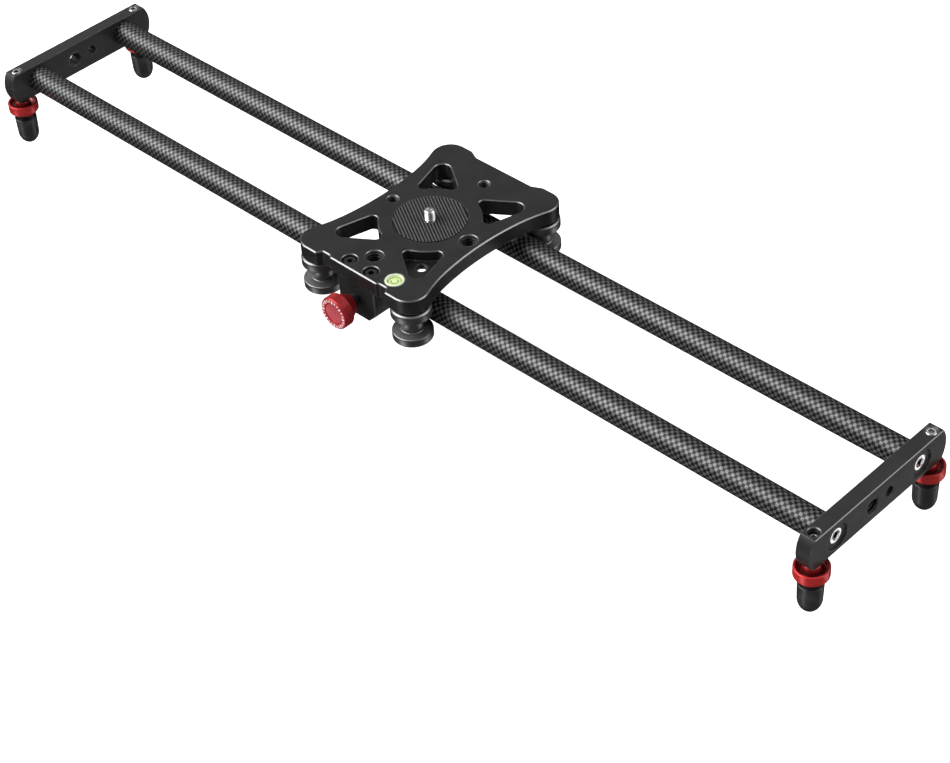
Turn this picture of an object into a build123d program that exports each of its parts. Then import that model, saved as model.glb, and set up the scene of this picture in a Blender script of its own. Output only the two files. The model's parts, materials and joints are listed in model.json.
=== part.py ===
from build123d import *
import math
import os

# Camera slider: two tube rails between end blocks, with a four-roller carriage that runs along them.
# X runs along the rails, +Z is up, and -Y is the side with the brake knob.
# The origin is on the camera screw's axis, at the top of the ribbed pad. Lengths are in millimetres.

# ---- rails and end blocks ----
rail_axis_z = -21.0
rail_y = 32.5
rail_radius = 7.5
rail_bore_radius = 6.5
frame_centre_x = -7.1
frame_length = 600.0
block_thickness = 8.5
block_half_height = 9.5
block_half_width = 49.5
block_end_bulge = 3.0
rail_seat_depth = 4.5
end_recess_radius = 7.6
end_recess_depth = 1.0
plug_length = 15.0
inner_face_offset = frame_length / 2 - block_thickness
left_inner_x = frame_centre_x - inner_face_offset
right_inner_x = frame_centre_x + inner_face_offset
leg_offset_x = inner_face_offset + block_thickness / 2
leg_y = 45.0

# ---- threads, all as plain bores and shafts ----
quarter_hole_radius = 3.2
quarter_screw_radius = 3.175
three_eighths_hole_radius = 4.8
thread_lead_in = 0.45
three_eighths_y = -5.7
quarter_y = 7.5

# ---- carriage plate ----
plate_top = -0.5
plate_thickness = 9.2
plate_bottom = plate_top - plate_thickness
corner_x = 33.5
corner_y = 48.8
corner_radius = 10.4
waist_x = 36.0
waist_end_x = 38.2
waist_end_y = 27.0
flare_radius = 87.15
front_middle_y = -57.0
front_notch_y = -55.8
rear_middle_y = 56.4
pocket_tip = (35.5, 47.9)
pocket_inner_radius = 27.95
pocket_angles = (25.8, 79.6)
pocket_floor = 3.0
pocket_hole_at = (20.0, -27.2)
mount_hole_x = 28.3
mount_hole_y = 41.1
pad_radius = 20.5
pad_recess = 0.9
pad_side_gap = 0.35
rib_pitch = 1.67
rib_depth = 0.4
rib_angle = -30.2
camera_screw_height = 6.2
camera_screw_clearance = 3.3
camera_screw_head_radius = 6.4
camera_screw_seat = 3.2

# ---- bubble level ----
level_at = (22.4, -48.5)
level_radius = 5.2
level_depth = 5.0
level_window_radius = 4.3

# ---- rollers ----
roller_gap = 0.03
roller_half_height = 10.4
roller_rim_radius = 10.9
roller_neck_radius = 6.2
roller_edge_radius = 0.6
flank_angle = 13.0
bearing_outer = 6.5
bearing_bore = 2.5
bearing_width = 4.0
bearing_recess = 0.5
ball_radius = 1.0
ball_circle = 4.5
race_radius = 1.02
ball_count = 7

# ---- brake ----
bracket_half_width = 13.5
bracket_front_y = -56.0
bracket_rear_y = -41.5
bracket_bottom = -31.0
bracket_chamfer = 5.7
bracket_screw_x = 7.9
bracket_screw_y = -51.4
brake_z = -19.7
brake_screw_radius = 2.45
brake_knob_radius = 9.4
brake_knob_face_y = -73.1
brake_knob_back_y = -66.3
brake_hub_end_y = -60.6
brake_collar_end_y = -57.4
brake_pad_radius = 4.0
brake_pad_face_y = -40.6

# ---- legs ----
stud_radius = 2.95
stud_hole_radius = 3.0
leg_knob_radius = 8.9
leg_knob_top = -32.6
leg_knob_bottom = -39.2
foot_radius = 6.5
foot_tip_radius = 6.25
foot_top = -43.2
foot_bottom = -61.4
foot_dome_height = 8.0
foot_flat_radius = 1.0
core_radius = 4.0
core_collar_radius = 6.35

os.makedirs("parts", exist_ok=True)


def save(part, name):
    part.label = name
    export_step(part, f"parts/{name}.step")


def upright(x, y):
    # Local x is the radius from a vertical axis at (x, y); local y is the height.
    return Plane(origin=(x, y, 0), x_dir=(1, 0, 0), z_dir=(0, -1, 0))


def vertical_axis(x, y):
    return Axis((x, y, 0), (0, 0, 1))


def along_x(x, facing):
    # A plane across the rails; facing is +1 or -1 for the side its normal points to.
    return Plane(origin=(x, 0, rail_axis_z), x_dir=(0, 1, 0), z_dir=(facing, 0, 0))


# ---- end blocks ----
def end_block(name, facing):
    inner = frame_centre_x + facing * inner_face_offset
    outer = inner + facing * block_thickness
    stud_x = frame_centre_x + facing * leg_offset_x
    with BuildPart() as block:
        with BuildSketch(along_x(inner, facing)):
            with BuildLine():
                w, h, bulge = block_half_width, block_half_height, block_end_bulge
                Line((-w, h), (w, h))
                ThreePointArc((w, h), (w + bulge, 0), (w, -h))
                Line((w, -h), (-w, -h))
                ThreePointArc((-w, -h), (-w - bulge, 0), (-w, h))
            make_face()
        extrude(amount=block_thickness)
        outer_edges = block.faces().sort_by(Axis.X)[-1 if facing > 0 else 0].edges()
        chamfer(outer_edges, length=0.35)
        # seats for the rails, opening towards the carriage
        with BuildSketch(along_x(inner, facing)):
            with Locations((-rail_y, 0), (rail_y, 0)):
                Circle(rail_radius)
        extrude(amount=rail_seat_depth, mode=Mode.SUBTRACT)
        # recesses for the screw heads, opening outwards
        with BuildSketch(along_x(outer, -facing)):
            with Locations((-rail_y, 0), (rail_y, 0)):
                Circle(end_recess_radius)
        extrude(amount=end_recess_depth, mode=Mode.SUBTRACT)
        recess_x = outer - facing * end_recess_depth
        with Locations(along_x(recess_x, facing)):
            with Locations((-rail_y, 0), (rail_y, 0)):
                CounterSinkHole(2.1, 4.35, depth=4.0, counter_sink_angle=90)
        # two threaded holes for a tripod or a motor bracket
        with BuildSketch(along_x(inner, facing)):
            with Locations((three_eighths_y, 0)):
                Circle(three_eighths_hole_radius)
            with Locations((quarter_y, 0)):
                Circle(quarter_hole_radius)
        extrude(amount=block_thickness, mode=Mode.SUBTRACT)
        # stud holes, running down through both ends
        with BuildSketch(Plane.XY.offset(rail_axis_z + block_half_height)):
            with Locations((stud_x, -leg_y), (stud_x, leg_y)):
                Circle(stud_hole_radius)
        extrude(amount=-2 * block_half_height, mode=Mode.SUBTRACT)
        mouths = block.faces().sort_by(Axis.Z)[-1].edges().filter_by(GeomType.CIRCLE)
        chamfer(mouths, length=thread_lead_in)
    save(block.part, name)


end_block("end_block_left", -1)
end_block("end_block_right", 1)


# ---- rails ----
def rail(name, y):
    start = left_inner_x - rail_seat_depth
    length = right_inner_x + rail_seat_depth - start
    with BuildPart() as tube:
        with BuildSketch(along_x(start, 1)):
            with Locations((y, 0)):
                Circle(rail_radius)
                Circle(rail_bore_radius, mode=Mode.SUBTRACT)
        extrude(amount=length)
    save(tube.part, name)


rail("rail_front", -rail_y)
rail("rail_rear", rail_y)

# plugs bonded into the rail ends, tapped for the end screws
with BuildPart() as rail_plugs:
    for facing in (-1, 1):
        rail_end = frame_centre_x + facing * (inner_face_offset + rail_seat_depth)
        with BuildSketch(along_x(rail_end, -facing)):
            with Locations((-rail_y, 0), (rail_y, 0)):
                Circle(rail_bore_radius)
                Circle(2.0, mode=Mode.SUBTRACT)
        extrude(amount=plug_length)
save(rail_plugs.part, "rail_plugs")

# countersunk screws that hold the blocks to the rails
with BuildPart() as rail_screws:
    for facing in (-1, 1):
        for y in (-rail_y, rail_y):
            head_x = frame_centre_x + facing * (frame_length / 2 - end_recess_depth)
            screw_axis = Axis((head_x, y, rail_axis_z), (-facing, 0, 0))
            side = Plane(origin=(head_x, y, rail_axis_z), x_dir=(-facing, 0, 0), z_dir=(0, facing, 0))
            with BuildSketch(side):
                with BuildLine():
                    Polyline((0, 0), (0, 4.25), (2.3, 1.95), (14.0, 1.95), (14.0, 0), close=True)
                make_face()
            revolve(axis=screw_axis)
            with BuildSketch(Plane(origin=(head_x, y, rail_axis_z), z_dir=(facing, 0, 0))):
                RegularPolygon(1.45, 6)
            extrude(amount=-1.8, mode=Mode.SUBTRACT)
save(rail_screws.part, "rail_screws")


# ---- carriage plate ----
def flare_points():
    # The flare leaves the waist arc square to its end radius and touches the corner circle outside.
    waist_radius = (waist_end_y**2 + (waist_end_x - waist_x) ** 2) / (2 * (waist_end_x - waist_x))
    lean = math.asin(waist_end_y / waist_radius)
    centre_x = waist_end_x + flare_radius * math.cos(lean)
    centre_y = waist_end_y - flare_radius * math.sin(lean)
    reach = math.hypot(corner_x - centre_x, corner_y - centre_y)
    unit_x = (corner_x - centre_x) / reach
    unit_y = (corner_y - centre_y) / reach
    meet = (centre_x + flare_radius * unit_x, centre_y + flare_radius * unit_y)
    start_angle = math.atan2(waist_end_y - centre_y, waist_end_x - centre_x)
    end_angle = math.atan2(unit_y, unit_x)
    middle_angle = (start_angle % math.tau + end_angle % math.tau) / 2
    middle = (
        centre_x + flare_radius * math.cos(middle_angle),
        centre_y + flare_radius * math.sin(middle_angle),
    )
    return middle, meet


def on_circle(radius, angle):
    return radius * math.cos(math.radians(angle)), radius * math.sin(math.radians(angle))


pocket_arc_angles = (pocket_angles[0], sum(pocket_angles) / 2, pocket_angles[1])
with BuildPart() as carriage_plate:
    with BuildSketch(Plane.XY.offset(plate_bottom)) as outline:
        flare_middle, flare_end = flare_points()
        corner_middle_angle = math.atan2(flare_end[1] - corner_y, flare_end[0] - corner_x) / 2 + math.pi / 4
        corner_middle = (
            corner_x + corner_radius * math.cos(corner_middle_angle),
            corner_y + corner_radius * math.sin(corner_middle_angle),
        )
        corner_top = corner_y + corner_radius
        with BuildLine():
            Polyline((0, rear_middle_y), (20.6, rear_middle_y), (26.6, corner_top), (corner_x, corner_top))
            ThreePointArc((corner_x, corner_top), corner_middle, flare_end)
            ThreePointArc(flare_end, flare_middle, (waist_end_x, waist_end_y))
            ThreePointArc((waist_end_x, waist_end_y), (waist_x, 0), (waist_end_x, -waist_end_y))
            ThreePointArc(
                (waist_end_x, -waist_end_y),
                (flare_middle[0], -flare_middle[1]),
                (flare_end[0], -flare_end[1]),
            )
            ThreePointArc(
                (flare_end[0], -flare_end[1]),
                (corner_middle[0], -corner_middle[1]),
                (corner_x, -corner_top),
            )
            Polyline(
                (corner_x, -corner_top),
                (25.6, -corner_top),
                (23.8, front_notch_y),
                (18.6, front_notch_y),
                (16.8, front_middle_y),
                (0, front_middle_y),
            )
            mirror(about=Plane.YZ)
        make_face()
        steps = outline.vertices().filter_by(lambda v: 15 < abs(v.X) < 30 and abs(v.Y) > 50)
        fillet(steps, radius=1.3)
    extrude(amount=plate_thickness)
    rim = carriage_plate.faces().sort_by(Axis.Z)
    chamfer(rim[-1].edges() + rim[0].edges(), length=0.6)
    # four three-sided pockets, each with an inner side concentric with the pad; one keeps a floor
    for sx, sy in ((1, 1), (-1, 1), (-1, -1), (1, -1)):
        with BuildSketch(Plane.XY.offset(plate_top)) as pocket:
            first, middle, last = [
                (sx * x, sy * y) for x, y in (on_circle(pocket_inner_radius, a) for a in pocket_arc_angles)
            ]
            tip = (sx * pocket_tip[0], sy * pocket_tip[1])
            with BuildLine():
                Polyline(last, tip, first)
                ThreePointArc(first, middle, last)
            make_face()
            outer_corner = pocket.vertices().sort_by(lambda v: abs(v.Y))[-1]
            fillet(outer_corner, radius=4.9)
            inner_corners = pocket.vertices().filter_by(lambda v: abs(v.Y) < 28.2 and abs(v.X) < 25.4)
            fillet(inner_corners, radius=3.1)
        blind = sx > 0 and sy < 0
        extrude(amount=-(plate_thickness - (pocket_floor if blind else 0)), mode=Mode.SUBTRACT)
    # recess for the ribbed pad and the camera screw's hole, with a seat below for its flat head
    with BuildSketch(Plane.XY.offset(plate_top)):
        Circle(pad_radius)
    extrude(amount=-pad_recess, mode=Mode.SUBTRACT)
    with BuildSketch(Plane.XY.offset(plate_bottom)):
        Circle(camera_screw_clearance)
    extrude(amount=plate_thickness, mode=Mode.SUBTRACT)
    with BuildSketch(Plane.XY.offset(plate_bottom)):
        Circle(camera_screw_head_radius + 0.2)
    extrude(amount=camera_screw_seat, mode=Mode.SUBTRACT)
    # threaded accessory holes
    with BuildSketch(Plane.XY.offset(plate_bottom)):
        with Locations((-mount_hole_x, 0), (0, mount_hole_y), pocket_hole_at):
            Circle(quarter_hole_radius)
        with Locations((mount_hole_x, 0), (0, -mount_hole_y)):
            Circle(three_eighths_hole_radius)
    extrude(amount=plate_thickness, mode=Mode.SUBTRACT)
    # counterbores over the bracket screws
    with Locations(Plane.XY.offset(plate_top)):
        with Locations((-bracket_screw_x, bracket_screw_y), (bracket_screw_x, bracket_screw_y)):
            CounterBoreHole(2.2, 4.2, 4.6, depth=plate_thickness)
    # blind seat for the level, and blind holes below for the axle bolts
    with BuildSketch(Plane.XY.offset(plate_top)):
        with Locations(level_at):
            Circle(level_radius)
    extrude(amount=-level_depth, mode=Mode.SUBTRACT)
    with BuildSketch(Plane.XY.offset(plate_bottom)):
        with GridLocations(2 * corner_x, 2 * corner_y, 2, 2):
            Circle(2.5)
    extrude(amount=7.5, mode=Mode.SUBTRACT)
    top_face = carriage_plate.faces().sort_by(Axis.Z)[-1]
    mouths = [edge for wire in top_face.inner_wires() for edge in wire.edges()]
    chamfer([edge for edge in mouths if edge.length < 60], length=thread_lead_in)
save(carriage_plate.part, "carriage_plate")

# ribbed pad that grips the camera's base
with BuildPart() as friction_pad:
    with BuildSketch(Plane.XY.offset(plate_top - pad_recess)):
        Circle(pad_radius - pad_side_gap)
        Circle(camera_screw_clearance, mode=Mode.SUBTRACT)
    extrude(amount=pad_recess - plate_top)
    rib_count = int(pad_radius / rib_pitch)
    with BuildSketch(Plane.XY.rotated((0, 0, rib_angle))):
        with Locations(*[(0, (n + 0.5) * rib_pitch) for n in range(-rib_count, rib_count)]):
            Rectangle(2 * pad_radius + 2, rib_pitch / 2)
    extrude(amount=-rib_depth, mode=Mode.SUBTRACT)
save(friction_pad.part, "friction_pad")

with BuildPart() as camera_screw:
    with BuildSketch(Plane.XZ):
        with BuildLine():
            r = quarter_screw_radius
            Polyline(
                (0, camera_screw_height),
                (r - 0.7, camera_screw_height),
                (r, camera_screw_height - 0.7),
                (r, 0),
                (r - 0.2, 0),
                (r - 0.2, plate_bottom + camera_screw_seat),
                (camera_screw_head_radius, plate_bottom + camera_screw_seat),
                (camera_screw_head_radius, plate_bottom + 0.3),
                (0, plate_bottom + 0.3),
                close=True,
            )
        make_face()
    revolve(axis=Axis.Z)
    with BuildSketch(Plane.XY.offset(plate_bottom)):
        RegularPolygon(2.9, 6)
    extrude(amount=3.3, mode=Mode.SUBTRACT)
save(camera_screw.part, "camera_screw")

# ---- bubble level ----
level_floor = plate_top - level_depth
level_top = plate_top + 0.3
with BuildPart() as level_case:
    with BuildSketch(upright(*level_at)):
        with BuildLine():
            Polyline(
                (0, level_floor),
                (level_radius - 0.05, level_floor),
                (level_radius - 0.05, level_top - 0.3),
                (level_radius - 0.3, level_top),
                (level_window_radius, level_top),
                (level_window_radius, level_floor + 0.8),
                (0, level_floor + 0.8),
                close=True,
            )
        make_face()
    revolve(axis=vertical_axis(*level_at))
save(level_case.part, "level_case")

bubble_radius = 1.5
bubble_height = 0.5
lens_underside = level_top - 1.1
bubble_at = Plane(origin=(level_at[0] - 0.3, level_at[1] + 0.2, lens_underside))
with BuildPart() as level_bubble:
    with BuildSketch(bubble_at):
        Circle(bubble_radius)
    extrude(amount=-bubble_height)
    fillet(level_bubble.faces().sort_by(Axis.Z)[0].edges(), radius=0.4)
save(level_bubble.part, "level_bubble")

with BuildPart() as level_liquid:
    with BuildSketch(Plane.XY.offset(level_floor + 0.8)):
        with Locations(level_at):
            Circle(level_window_radius)
    extrude(amount=lens_underside - level_floor - 0.8)
    add(level_bubble.part, mode=Mode.SUBTRACT)
save(level_liquid.part, "level_liquid")

with BuildPart() as level_lens:
    with BuildSketch(Plane.XY.offset(lens_underside)):
        with Locations(level_at):
            Circle(level_window_radius)
    extrude(amount=level_top - lens_underside)
    with BuildSketch(Plane.XY.offset(level_top)):
        with Locations(level_at):
            for ring in (1.9, 3.1):
                Circle(ring + 0.12)
                Circle(ring - 0.12, mode=Mode.SUBTRACT)
    extrude(amount=-0.15, mode=Mode.SUBTRACT)
save(level_lens.part, "level_lens")

# ---- axles: bolts from below, washers under the plate, sleeves between the bearings ----
bearing_far = roller_half_height - bearing_recess
bearing_near = bearing_far - bearing_width
bolt_head_height = 3.0
with BuildPart() as axle_bolts:
    with BuildSketch(Plane.XY.offset(rail_axis_z - bearing_far)):
        with GridLocations(2 * corner_x, 2 * corner_y, 2, 2):
            Circle(4.2)
    extrude(amount=-bolt_head_height)
    chamfer(axle_bolts.faces().sort_by(Axis.Z)[0:4].edges(), length=0.5)
    with BuildSketch(Plane.XY.offset(rail_axis_z - bearing_far)):
        with GridLocations(2 * corner_x, 2 * corner_y, 2, 2):
            Circle(bearing_bore)
    extrude(amount=plate_bottom + 7.0 - rail_axis_z + bearing_far)
    with BuildSketch(Plane.XY.offset(rail_axis_z - bearing_far - bolt_head_height)):
        with GridLocations(2 * corner_x, 2 * corner_y, 2, 2):
            RegularPolygon(1.7, 6)
    extrude(amount=2.0, mode=Mode.SUBTRACT)
save(axle_bolts.part, "axle_bolts")

with BuildPart() as axle_washers:
    with BuildSketch(Plane.XY.offset(rail_axis_z + bearing_far)):
        with GridLocations(2 * corner_x, 2 * corner_y, 2, 2):
            Circle(3.5)
            Circle(bearing_bore, mode=Mode.SUBTRACT)
    extrude(amount=plate_bottom - rail_axis_z - bearing_far)
save(axle_washers.part, "axle_washers")

with BuildPart() as axle_sleeves:
    with BuildSketch(Plane.XY.offset(rail_axis_z - bearing_near)):
        with GridLocations(2 * corner_x, 2 * corner_y, 2, 2):
            Circle(3.5)
            Circle(bearing_bore, mode=Mode.SUBTRACT)
    extrude(amount=2 * bearing_near)
save(axle_sleeves.part, "axle_sleeves")

# ---- ball bearings: inner rings and balls stay with the axles ----
bearing_levels = [rail_axis_z - bearing_far, rail_axis_z + bearing_near]
with BuildPart() as bearing_inner_rings:
    for level in bearing_levels:
        with BuildSketch(Plane.XY.offset(level)):
            with GridLocations(2 * corner_x, 2 * corner_y, 2, 2):
                Circle(3.7)
                Circle(bearing_bore, mode=Mode.SUBTRACT)
        extrude(amount=bearing_width)
        with Locations(Plane.XY.offset(level + bearing_width / 2)):
            with GridLocations(2 * corner_x, 2 * corner_y, 2, 2):
                Torus(ball_circle, race_radius, mode=Mode.SUBTRACT)
save(bearing_inner_rings.part, "bearing_inner_rings")

with BuildPart() as bearing_balls:
    for level in bearing_levels:
        with Locations(Plane.XY.offset(level + bearing_width / 2)):
            with GridLocations(2 * corner_x, 2 * corner_y, 2, 2):
                with PolarLocations(ball_circle, ball_count):
                    Sphere(ball_radius)
save(bearing_balls.part, "bearing_balls")


# ---- rollers: one grooved wheel and two outer rings at each corner ----
def rim_start():
    # The rounded inner edge of each rim keeps a running gap from the rail and meets the flank smoothly.
    lean = math.radians(flank_angle)
    reach = rail_radius + roller_gap + roller_edge_radius
    across = corner_y - rail_y - roller_rim_radius + roller_edge_radius
    return math.sqrt(reach**2 - across**2) + roller_edge_radius * (math.tan(lean) - 1 / math.cos(lean))


def roller(name, x, y):
    with BuildPart() as wheel:
        with BuildSketch(upright(x, y)) as half:
            rim = roller_rim_radius
            top = roller_half_height
            neck_end = rim_start() - (rim - roller_neck_radius) * math.tan(math.radians(flank_angle))
            with BuildLine():
                Polyline(
                    (4.4, rail_axis_z + bearing_near),
                    (bearing_outer, rail_axis_z + bearing_near),
                    (bearing_outer, rail_axis_z + top),
                    (rim - 1.2, rail_axis_z + top),
                    (rim, rail_axis_z + top - 1.0),
                    (rim, rail_axis_z + rim_start()),
                    (roller_neck_radius, rail_axis_z + neck_end),
                    (roller_neck_radius, rail_axis_z - neck_end),
                    (rim, rail_axis_z - rim_start()),
                    (rim, rail_axis_z - top + 1.0),
                    (rim - 1.2, rail_axis_z - top),
                    (bearing_outer, rail_axis_z - top),
                    (bearing_outer, rail_axis_z - bearing_near),
                    (4.4, rail_axis_z - bearing_near),
                    close=True,
                )
            make_face()
            neck = half.vertices().filter_by(lambda v: abs(abs(v.Y - rail_axis_z) - neck_end) < 0.01)
            fillet(neck, radius=1.0)
            rims = half.vertices().filter_by(lambda v: abs(abs(v.Y - rail_axis_z) - rim_start()) < 0.01)
            fillet(rims, radius=roller_edge_radius)
        revolve(axis=vertical_axis(x, y))
    save(wheel.part, f"roller_{name}")

    with BuildPart() as rings:
        for level in bearing_levels:
            with BuildSketch(Plane.XY.offset(level)):
                with Locations((x, y)):
                    Circle(bearing_outer)
                    Circle(5.3, mode=Mode.SUBTRACT)
            extrude(amount=bearing_width)
            with Locations((x, y, level + bearing_width / 2)):
                Torus(ball_circle, race_radius, mode=Mode.SUBTRACT)
    save(rings.part, f"outer_rings_{name}")


roller("front_left", -corner_x, -corner_y)
roller("front_right", corner_x, -corner_y)
roller("rear_left", -corner_x, corner_y)
roller("rear_right", corner_x, corner_y)

# ---- brake bracket ----
with BuildPart() as brake_bracket:
    with BuildSketch(Plane.XZ.offset(-bracket_front_y)):
        with BuildLine():
            w, c = bracket_half_width, bracket_chamfer
            Polyline(
                (-w, plate_bottom),
                (w, plate_bottom),
                (w, bracket_bottom + c),
                (w - c, bracket_bottom),
                (c - w, bracket_bottom),
                (-w, bracket_bottom + c),
                close=True,
            )
        make_face()
    extrude(amount=bracket_front_y - bracket_rear_y)
    chamfer(brake_bracket.faces().sort_by(Axis.Y)[0].edges(), length=0.4)
    with BuildSketch(Plane.XZ.offset(-bracket_front_y)):
        with Locations((0, brake_z)):
            Circle(brake_screw_radius + 0.05)
    extrude(amount=bracket_front_y - bracket_rear_y, mode=Mode.SUBTRACT)
    with BuildSketch(Plane.XZ.offset(-bracket_rear_y)):
        with Locations((0, brake_z)):
            Circle(brake_pad_radius + 0.06)
    extrude(amount=7.0, mode=Mode.SUBTRACT)
    with BuildSketch(Plane.XY.offset(plate_bottom)):
        with Locations((-bracket_screw_x, bracket_screw_y), (bracket_screw_x, bracket_screw_y)):
            Circle(2.0)
    extrude(amount=-9.0, mode=Mode.SUBTRACT)
save(brake_bracket.part, "brake_bracket")

with BuildPart() as bracket_screws:
    seat = plate_top - 4.6
    for x in (-bracket_screw_x, bracket_screw_x):
        with BuildSketch(upright(x, bracket_screw_y)):
            with BuildLine():
                Polyline(
                    (0, seat + 3.6),
                    (3.2, seat + 3.6),
                    (3.6, seat + 3.2),
                    (3.6, seat),
                    (1.95, seat),
                    (1.95, plate_bottom - 8.5),
                    (0, plate_bottom - 8.5),
                    close=True,
                )
            make_face()
        revolve(axis=vertical_axis(x, bracket_screw_y))
        with BuildSketch(Plane.XY.offset(seat + 3.6)):
            with Locations((x, bracket_screw_y)):
                RegularPolygon(1.7, 6)
        extrude(amount=-2.0, mode=Mode.SUBTRACT)
save(bracket_screws.part, "bracket_screws")

# ---- brake pad, screw and knob, all on one line across the front rail ----
brake_axis = Axis((0, 0, brake_z), (0, 1, 0))
brake_side = Plane(origin=(0, 0, brake_z), x_dir=(0, 1, 0), z_dir=(1, 0, 0))
with BuildPart() as brake_pad:
    with BuildSketch(brake_side):
        with BuildLine():
            Polyline(
                (brake_pad_face_y - 6.8, 0),
                (brake_pad_face_y - 6.8, brake_pad_radius),
                (brake_pad_face_y - 0.4, brake_pad_radius),
                (brake_pad_face_y, brake_pad_radius - 0.4),
                (brake_pad_face_y, 0),
                close=True,
            )
        make_face()
    revolve(axis=brake_axis)
save(brake_pad.part, "brake_pad")

with BuildPart() as brake_screw:
    with BuildSketch(brake_side):
        with BuildLine():
            Polyline(
                (brake_pad_face_y - 6.8, 0),
                (brake_pad_face_y - 6.8, brake_screw_radius - 0.5),
                (brake_pad_face_y - 7.3, brake_screw_radius),
                (brake_collar_end_y, brake_screw_radius),
                (brake_collar_end_y, 3.9),
                (brake_hub_end_y, 3.9),
                (brake_hub_end_y, brake_screw_radius),
                (brake_knob_face_y + 2.0, brake_screw_radius),
                (brake_knob_face_y + 2.0, 0),
                close=True,
            )
        make_face()
    revolve(axis=brake_axis)
save(brake_screw.part, "brake_screw")

with BuildPart() as brake_knob:
    with BuildSketch(brake_side) as half:
        with BuildLine():
            R = brake_knob_radius
            Polyline(
                (brake_knob_face_y + 0.5, 0),
                (brake_knob_face_y + 0.5, R - 3.4),
                (brake_knob_face_y, R - 3.0),
                (brake_knob_face_y, R - 0.9),
                (brake_knob_face_y + 0.9, R),
                (brake_knob_back_y - 0.8, R),
                (brake_knob_back_y, R - 0.8),
                (brake_hub_end_y, 5.4),
                (brake_hub_end_y, brake_screw_radius),
                (brake_knob_face_y + 2.0, brake_screw_radius),
                (brake_knob_face_y + 2.0, 0),
                close=True,
            )
        make_face()
    revolve(axis=brake_axis)
    # shallow tick marks around the face
    with BuildSketch(Plane.XZ.offset(-brake_knob_face_y)):
        with Locations((0, brake_z)):
            with PolarLocations(brake_knob_radius - 1.95, 12):
                Rectangle(1.5, 0.5)
    extrude(amount=-0.2, mode=Mode.SUBTRACT)
save(brake_knob.part, "brake_knob")


# ---- legs: a rubber foot on a metal core, and a stud with a dished knob that screws it up and down ----
def leg(name, x, y, stud_top):
    with BuildPart() as knob:
        with BuildSketch(upright(x, y)) as half:
            with BuildLine():
                R = leg_knob_radius
                Polyline(
                    (stud_radius, leg_knob_top + 1.2),
                    (3.9, leg_knob_top + 1.2),
                    (4.4, leg_knob_top + 0.6),
                    (5.0, leg_knob_top - 3.4),
                    (R - 1.9, leg_knob_top - 1.6),
                    (R - 1.1, leg_knob_top),
                    (R - 0.4, leg_knob_top),
                    (R, leg_knob_top - 0.5),
                    (R, leg_knob_bottom + 1.4),
                    (R - 1.2, leg_knob_bottom),
                    (stud_radius, leg_knob_bottom),
                    close=True,
                )
            make_face()
        revolve(axis=vertical_axis(x, y))
    save(knob.part, f"leg_knob_{name}")

    stud_end = leg_knob_bottom - 13.0
    with BuildPart() as stud:
        with BuildSketch(upright(x, y)):
            with BuildLine():
                Polyline(
                    (0, stud_top),
                    (stud_radius - 0.35, stud_top),
                    (stud_radius, stud_top - 0.35),
                    (stud_radius, stud_end),
                    (0, stud_end),
                    close=True,
                )
            make_face()
        revolve(axis=vertical_axis(x, y))
        with BuildSketch(Plane.XY.offset(stud_top)):
            with Locations((x, y)):
                RegularPolygon(1.65, 6)
        extrude(amount=-3.0, mode=Mode.SUBTRACT)
    save(stud.part, f"leg_stud_{name}")

    with BuildPart() as core:
        with BuildSketch(upright(x, y)):
            with BuildLine():
                Polyline(
                    (stud_radius + 0.05, leg_knob_bottom),
                    (core_collar_radius, leg_knob_bottom),
                    (core_collar_radius, foot_top),
                    (core_radius, foot_top),
                    (core_radius, stud_end - 1.0),
                    (0, stud_end - 1.0),
                    (0, stud_end),
                    (stud_radius + 0.05, stud_end),
                    close=True,
                )
            make_face()
        revolve(axis=vertical_axis(x, y))
    save(core.part, f"foot_core_{name}")

    # the domed end runs from the side down to a small flat where the foot stands
    dome_start = foot_bottom + foot_dome_height
    dome_middle = (foot_tip_radius * math.sqrt(0.5), dome_start - foot_dome_height * math.sqrt(0.5))
    with BuildPart() as foot:
        with BuildSketch(upright(x, y)):
            with BuildLine():
                ThreePointArc((foot_flat_radius, foot_bottom), dome_middle, (foot_tip_radius, dome_start))
                Polyline(
                    (foot_tip_radius, dome_start),
                    (foot_radius, foot_top - 0.3),
                    (foot_radius - 0.3, foot_top),
                    (core_radius, foot_top),
                    (core_radius, stud_end - 1.0),
                    (0, stud_end - 1.0),
                    (0, foot_bottom),
                    (foot_flat_radius, foot_bottom),
                )
            make_face()
        revolve(axis=vertical_axis(x, y))
    save(foot.part, f"foot_{name}")


block_top = rail_axis_z + block_half_height
leg_left_x = frame_centre_x - leg_offset_x
leg_right_x = frame_centre_x + leg_offset_x
leg("front_left", leg_left_x, -leg_y, block_top)
leg("rear_left", leg_left_x, leg_y, block_top)
leg("front_right", leg_right_x, -leg_y, block_top - 3.0)
leg("rear_right", leg_right_x, leg_y, block_top)
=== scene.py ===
import json
import math

import bmesh
import bpy
import numpy as np
from mathutils import Matrix, Vector


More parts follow.
